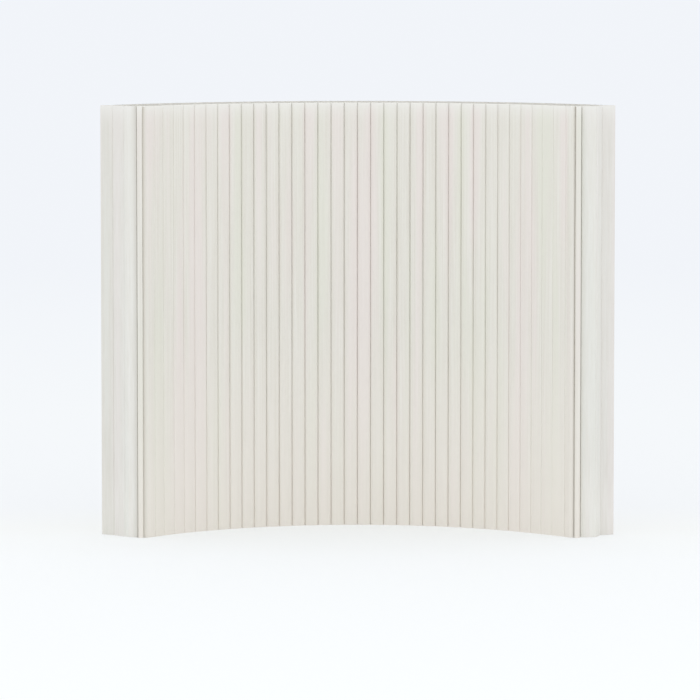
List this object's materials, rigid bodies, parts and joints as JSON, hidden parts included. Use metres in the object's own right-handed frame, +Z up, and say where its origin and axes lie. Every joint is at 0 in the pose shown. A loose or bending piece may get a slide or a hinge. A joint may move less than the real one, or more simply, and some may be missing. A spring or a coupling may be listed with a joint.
{
  "type": "pleated paper room divider",
  "caption": "Free-standing pleated paper wall: honeycomb of tall folded sleeves on an arc, with folding magnetic end panels; closes like a fan into a flat stack.",
  "frame": {"origin": "the middle of the footprint's bounding box, on the floor", "axes": "+X along the width to the right, +Y away from the concave front, +Z up"},
  "size_m": [3.6344, 0.9993, 3.05],
  "materials": {
    "paper": "matt off-white paper, folded by hand",
    "cover": "matt off-white heavy paper round a board",
    "crease": "matt folded paper",
    "board": "plain grey-brown board",
    "magnet": "plated disc"
  },
  "bodies": {
    "root": {"left_end_sleeve": "paper", "left_middle_cover": "cover", "left_middle_board": "board", "left_middle_magnets": "magnet", "left_front_crease": "crease", "left_back_crease": "crease"},
    "sleeve_body_01": {"sleeve_01": "paper"},
    "sleeve_body_02": {"sleeve_02": "paper"},
    "sleeve_body_03": {"sleeve_03": "paper"},
    "sleeve_body_04": {"sleeve_04": "paper"},
    "sleeve_body_05": {"sleeve_05": "paper"},
    "sleeve_body_06": {"sleeve_06": "paper"},
    "sleeve_body_07": {"sleeve_07": "paper"},
    "sleeve_body_08": {"sleeve_08": "paper"},
    "sleeve_body_09": {"sleeve_09": "paper"},
    "sleeve_body_10": {"sleeve_10": "paper"},
    "sleeve_body_11": {"sleeve_11": "paper"},
    "sleeve_body_12": {"sleeve_12": "paper"},
    "sleeve_body_13": {"sleeve_13": "paper"},
    "sleeve_body_14": {"sleeve_14": "paper"},
    "sleeve_body_15": {"sleeve_15": "paper"},
    "sleeve_body_16": {"sleeve_16": "paper"},
    "sleeve_body_17": {"sleeve_17": "paper"},
    "sleeve_body_18": {"sleeve_18": "paper"},
    "sleeve_body_19": {"sleeve_19": "paper"},
    "sleeve_body_20": {"sleeve_20": "paper"},
    "sleeve_body_21": {"sleeve_21": "paper"},
    "sleeve_body_22": {"sleeve_22": "paper"},
    "sleeve_body_23": {"sleeve_23": "paper"},
    "sleeve_body_24": {"sleeve_24": "paper"},
    "sleeve_body_25": {"sleeve_25": "paper"},
    "sleeve_body_26": {"sleeve_26": "paper"},
    "sleeve_body_27": {"sleeve_27": "paper"},
    "sleeve_body_28": {"sleeve_28": "paper"},
    "sleeve_body_29": {"sleeve_29": "paper"},
    "sleeve_body_30": {"sleeve_30": "paper"},
    "sleeve_body_31": {"sleeve_31": "paper"},
    "sleeve_body_32": {"sleeve_32": "paper"},
    "sleeve_body_33": {"sleeve_33": "paper"},
    "sleeve_body_34": {"sleeve_34": "paper"},
    "sleeve_body_35": {"sleeve_35": "paper"},
    "sleeve_body_36": {"sleeve_36": "paper"},
    "left_front_strip": {"left_front_cover": "cover", "left_front_board": "board", "left_front_magnets": "magnet"},
    "left_back_strip": {"left_back_cover": "cover", "left_back_board": "board", "left_back_magnets": "magnet"},
    "right_end": {"right_end_sleeve": "paper"},
    "right_middle_strip": {"right_middle_cover": "cover", "right_middle_board": "board", "right_middle_magnets": "magnet", "right_front_crease": "crease", "right_back_crease": "crease"},
    "right_front_strip": {"right_front_cover": "cover", "right_front_board": "board", "right_front_magnets": "magnet"},
    "right_back_strip": {"right_back_cover": "cover", "right_back_board": "board", "right_back_magnets": "magnet"}
  },
  "joints": [
    {"name": "wall_close", "type": "hinge", "parent": "root", "child": "right_end", "pos_m": [-0.00148, -1.84012, 1.525], "axis": [0, 0, 1], "range_deg": [0, 95.78], "deforming": ["sleeve_01", "sleeve_02", "sleeve_03", "sleeve_04", "sleeve_05", "sleeve_06", "sleeve_07", "sleeve_08", "sleeve_09", "sleeve_10", "sleeve_11", "sleeve_12", "sleeve_13", "sleeve_14", "sleeve_15", "sleeve_16", "sleeve_17", "sleeve_18", "sleeve_19", "sleeve_20", "sleeve_21", "sleeve_22", "sleeve_23", "sleeve_24", "sleeve_25", "sleeve_26", "sleeve_27", "sleeve_28", "sleeve_29", "sleeve_30", "sleeve_31", "sleeve_32", "sleeve_33", "sleeve_34", "sleeve_35", "sleeve_36", "left_end_sleeve", "right_end_sleeve"]},
    {"name": "sleeve_01_turn", "type": "hinge", "parent": "root", "child": "sleeve_body_01", "pos_m": [-0.00148, -1.84012, 1.525], "axis": [0, 0, 1], "range_deg": [0, 0.7571]},
    {"name": "sleeve_02_turn", "type": "hinge", "parent": "root", "child": "sleeve_body_02", "pos_m": [-0.00148, -1.84012, 1.525], "axis": [0, 0, 1], "range_deg": [0, 3.4]},
    {"name": "sleeve_03_turn", "type": "hinge", "parent": "root", "child": "sleeve_body_03", "pos_m": [-0.00148, -1.84012, 1.525], "axis": [0, 0, 1], "range_deg": [0, 6.04]},
    {"name": "sleeve_04_turn", "type": "hinge", "parent": "root", "child": "sleeve_body_04", "pos_m": [-0.00148, -1.84012, 1.525], "axis": [0, 0, 1], "range_deg": [0, 8.68]},
    {"name": "sleeve_05_turn", "type": "hinge", "parent": "root", "child": "sleeve_body_05", "pos_m": [-0.00148, -1.84012, 1.525], "axis": [0, 0, 1], "range_deg": [0, 11.32]},
    {"name": "sleeve_06_turn", "type": "hinge", "parent": "root", "child": "sleeve_body_06", "pos_m": [-0.00148, -1.84012, 1.525], "axis": [0, 0, 1], "range_deg": [0, 13.96]},
    {"name": "sleeve_07_turn", "type": "hinge", "parent": "root", "child": "sleeve_body_07", "pos_m": [-0.00148, -1.84012, 1.525], "axis": [0, 0, 1], "range_deg": [0, 16.59]},
    {"name": "sleeve_08_turn", "type": "hinge", "parent": "root", "child": "sleeve_body_08", "pos_m": [-0.00148, -1.84012, 1.525], "axis": [0, 0, 1], "range_deg": [0, 19.23]},
    {"name": "sleeve_09_turn", "type": "hinge", "parent": "root", "child": "sleeve_body_09", "pos_m": [-0.00148, -1.84012, 1.525], "axis": [0, 0, 1], "range_deg": [0, 21.87]},
    {"name": "sleeve_10_turn", "type": "hinge", "parent": "root", "child": "sleeve_body_10", "pos_m": [-0.00148, -1.84012, 1.525], "axis": [0, 0, 1], "range_deg": [0, 24.51]},
    {"name": "sleeve_11_turn", "type": "hinge", "parent": "root", "child": "sleeve_body_11", "pos_m": [-0.00148, -1.84012, 1.525], "axis": [0, 0, 1], "range_deg": [0, 27.15]},
    {"name": "sleeve_12_turn", "type": "hinge", "parent": "root", "child": "sleeve_body_12", "pos_m": [-0.00148, -1.84012, 1.525], "axis": [0, 0, 1], "range_deg": [0, 29.79]},
    {"name": "sleeve_13_turn", "type": "hinge", "parent": "root", "child": "sleeve_body_13", "pos_m": [-0.00148, -1.84012, 1.525], "axis": [0, 0, 1], "range_deg": [0, 32.43]},
    {"name": "sleeve_14_turn", "type": "hinge", "parent": "root", "child": "sleeve_body_14", "pos_m": [-0.00148, -1.84012, 1.525], "axis": [0, 0, 1], "range_deg": [0, 35.07]},
    {"name": "sleeve_15_turn", "type": "hinge", "parent": "root", "child": "sleeve_body_15", "pos_m": [-0.00148, -1.84012, 1.525], "axis": [0, 0, 1], "range_deg": [0, 37.71]},
    {"name": "sleeve_16_turn", "type": "hinge", "parent": "root", "child": "sleeve_body_16", "pos_m": [-0.00148, -1.84012, 1.525], "axis": [0, 0, 1], "range_deg": [0, 40.35]},
    {"name": "sleeve_17_turn", "type": "hinge", "parent": "root", "child": "sleeve_body_17", "pos_m": [-0.00148, -1.84012, 1.525], "axis": [0, 0, 1], "range_deg": [0, 42.99]},
    {"name": "sleeve_18_turn", "type": "hinge", "parent": "root", "child": "sleeve_body_18", "pos_m": [-0.00148, -1.84012, 1.525], "axis": [0, 0, 1], "range_deg": [0, 45.63]},
    {"name": "sleeve_19_turn", "type": "hinge", "parent": "root", "child": "sleeve_body_19", "pos_m": [-0.00148, -1.84012, 1.525], "axis": [0, 0, 1], "range_deg": [0, 48.27]},
    {"name": "sleeve_20_turn", "type": "hinge", "parent": "root", "child": "sleeve_body_20", "pos_m": [-0.00148, -1.84012, 1.525], "axis": [0, 0, 1], "range_deg": [0, 50.91]},
    {"name": "sleeve_21_turn", "type": "hinge", "parent": "root", "child": "sleeve_body_21", "pos_m": [-0.00148, -1.84012, 1.525], "axis": [0, 0, 1], "range_deg": [0, 53.55]},
    {"name": "sleeve_22_turn", "type": "hinge", "parent": "root", "child": "sleeve_body_22", "pos_m": [-0.00148, -1.84012, 1.525], "axis": [0, 0, 1], "range_deg": [0, 56.19]},
    {"name": "sleeve_23_turn", "type": "hinge", "parent": "root", "child": "sleeve_body_23", "pos_m": [-0.00148, -1.84012, 1.525], "axis": [0, 0, 1], "range_deg": [0, 58.83]},
    {"name": "sleeve_24_turn", "type": "hinge", "parent": "root", "child": "sleeve_body_24", "pos_m": [-0.00148, -1.84012, 1.525], "axis": [0, 0, 1], "range_deg": [0, 61.47]},
    {"name": "sleeve_25_turn", "type": "hinge", "parent": "root", "child": "sleeve_body_25", "pos_m": [-0.00148, -1.84012, 1.525], "axis": [0, 0, 1], "range_deg": [0, 64.11]},
    {"name": "sleeve_26_turn", "type": "hinge", "parent": "root", "child": "sleeve_body_26", "pos_m": [-0.00148, -1.84012, 1.525], "axis": [0, 0, 1], "range_deg": [0, 66.75]},
    {"name": "sleeve_27_turn", "type": "hinge", "parent": "root", "child": "sleeve_body_27", "pos_m": [-0.00148, -1.84012, 1.525], "axis": [0, 0, 1], "range_deg": [0, 69.39]},
    {"name": "sleeve_28_turn", "type": "hinge", "parent": "root", "child": "sleeve_body_28", "pos_m": [-0.00148, -1.84012, 1.525], "axis": [0, 0, 1], "range_deg": [0, 72.03]},
    {"name": "sleeve_29_turn", "type": "hinge", "parent": "root", "child": "sleeve_body_29", "pos_m": [-0.00148, -1.84012, 1.525], "axis": [0, 0, 1], "range_deg": [0, 74.67]},
    {"name": "sleeve_30_turn", "type": "hinge", "parent": "root", "child": "sleeve_body_30", "pos_m": [-0.00148, -1.84012, 1.525], "axis": [0, 0, 1], "range_deg": [0, 77.31]},
    {"name": "sleeve_31_turn", "type": "hinge", "parent": "root", "child": "sleeve_body_31", "pos_m": [-0.00148, -1.84012, 1.525], "axis": [0, 0, 1], "range_deg": [0, 79.94]},
    {"name": "sleeve_32_turn", "type": "hinge", "parent": "root", "child": "sleeve_body_32", "pos_m": [-0.00148, -1.84012, 1.525], "axis": [0, 0, 1], "range_deg": [0, 82.58]},
    {"name": "sleeve_33_turn", "type": "hinge", "parent": "root", "child": "sleeve_body_33", "pos_m": [-0.00148, -1.84012, 1.525], "axis": [0, 0, 1], "range_deg": [0, 85.22]},
    {"name": "sleeve_34_turn", "type": "hinge", "parent": "root", "child": "sleeve_body_34", "pos_m": [-0.00148, -1.84012, 1.525], "axis": [0, 0, 1], "range_deg": [0, 87.86]},
    {"name": "sleeve_35_turn", "type": "hinge", "parent": "root", "child": "sleeve_body_35", "pos_m": [-0.00148, -1.84012, 1.525], "axis": [0, 0, 1], "range_deg": [0, 90.5]},
    {"name": "sleeve_36_turn", "type": "hinge", "parent": "root", "child": "sleeve_body_36", "pos_m": [-0.00148, -1.84012, 1.525], "axis": [0, 0, 1], "range_deg": [0, 93.14]},
    {"name": "left_front_fold", "type": "hinge", "parent": "root", "child": "left_front_strip", "pos_m": [-1.64289, -0.42552, 1.525], "axis": [0, 0, -1], "range_deg": [0, 11.24]},
    {"name": "left_back_fold", "type": "hinge", "parent": "root", "child": "left_back_strip", "pos_m": [-1.7247, -0.35502, 1.525], "axis": [0, 0, -1], "range_deg": [0, 8.74]},
    {"name": "right_panel_turn", "type": "hinge", "parent": "right_end", "child": "right_middle_strip", "pos_m": [1.76665, -0.31043, 1.525], "axis": [0, 0, -1], "range_deg": [0, 26.4]},
    {"name": "right_front_fold", "type": "hinge", "parent": "right_middle_strip", "child": "right_front_strip", "pos_m": [1.67791, -0.45892, 1.525], "axis": [0, 0, 1], "range_deg": [0, 68.1]},
    {"name": "right_back_fold", "type": "hinge", "parent": "right_middle_strip", "child": "right_back_strip", "pos_m": [1.71816, -0.3587, 1.525], "axis": [0, 0, 1], "range_deg": [0, 43.9]}
  ],
  "couplings": [
    {"joint": "sleeve_01_turn", "follows": "wall_close", "ratio": 0.0079036},
    {"joint": "sleeve_02_turn", "follows": "wall_close", "ratio": 0.035462},
    {"joint": "sleeve_03_turn", "follows": "wall_close", "ratio": 0.06302},
    {"joint": "sleeve_04_turn", "follows": "wall_close", "ratio": 0.090578},
    {"joint": "sleeve_05_turn", "follows": "wall_close", "ratio": 0.11814},
    {"joint": "sleeve_06_turn", "follows": "wall_close", "ratio": 0.14569},
    {"joint": "sleeve_07_turn", "follows": "wall_close", "ratio": 0.17325},
    {"joint": "sleeve_08_turn", "follows": "wall_close", "ratio": 0.20081},
    {"joint": "sleeve_09_turn", "follows": "wall_close", "ratio": 0.22837},
    {"joint": "sleeve_10_turn", "follows": "wall_close", "ratio": 0.25593},
    {"joint": "sleeve_11_turn", "follows": "wall_close", "ratio": 0.28349},
    {"joint": "sleeve_12_turn", "follows": "wall_close", "ratio": 0.31104},
    {"joint": "sleeve_13_turn", "follows": "wall_close", "ratio": 0.3386},
    {"joint": "sleeve_14_turn", "follows": "wall_close", "ratio": 0.36616},
    {"joint": "sleeve_15_turn", "follows": "wall_close", "ratio": 0.39372},
    {"joint": "sleeve_16_turn", "follows": "wall_close", "ratio": 0.42128},
    {"joint": "sleeve_17_turn", "follows": "wall_close", "ratio": 0.44884},
    {"joint": "sleeve_18_turn", "follows": "wall_close", "ratio": 0.47639},
    {"joint": "sleeve_19_turn", "follows": "wall_close", "ratio": 0.50395},
    {"joint": "sleeve_20_turn", "follows": "wall_close", "ratio": 0.53151},
    {"joint": "sleeve_21_turn", "follows": "wall_close", "ratio": 0.55907},
    {"joint": "sleeve_22_turn", "follows": "wall_close", "ratio": 0.58663},
    {"joint": "sleeve_23_turn", "follows": "wall_close", "ratio": 0.61418},
    {"joint": "sleeve_24_turn", "follows": "wall_close", "ratio": 0.64174},
    {"joint": "sleeve_25_turn", "follows": "wall_close", "ratio": 0.6693},
    {"joint": "sleeve_26_turn", "follows": "wall_close", "ratio": 0.69686},
    {"joint": "sleeve_27_turn", "follows": "wall_close", "ratio": 0.72442},
    {"joint": "sleeve_28_turn", "follows": "wall_close", "ratio": 0.75198},
    {"joint": "sleeve_29_turn", "follows": "wall_close", "ratio": 0.77953},
    {"joint": "sleeve_30_turn", "follows": "wall_close", "ratio": 0.80709},
    {"joint": "sleeve_31_turn", "follows": "wall_close", "ratio": 0.83465},
    {"joint": "sleeve_32_turn", "follows": "wall_close", "ratio": 0.86221},
    {"joint": "sleeve_33_turn", "follows": "wall_close", "ratio": 0.88977},
    {"joint": "sleeve_34_turn", "follows": "wall_close", "ratio": 0.91733},
    {"joint": "sleeve_35_turn", "follows": "wall_close", "ratio": 0.94488},
    {"joint": "sleeve_36_turn", "follows": "wall_close", "ratio": 0.97244},
    {"joint": "left_front_fold", "follows": "wall_close", "ratio": 0.11732},
    {"joint": "left_back_fold", "follows": "wall_close", "ratio": 0.091224},
    {"joint": "right_panel_turn", "follows": "wall_close", "ratio": 0.27562},
    {"joint": "right_front_fold", "follows": "wall_close", "ratio": 0.71099},
    {"joint": "right_back_fold", "follows": "wall_close", "ratio": 0.45833}
  ]
}
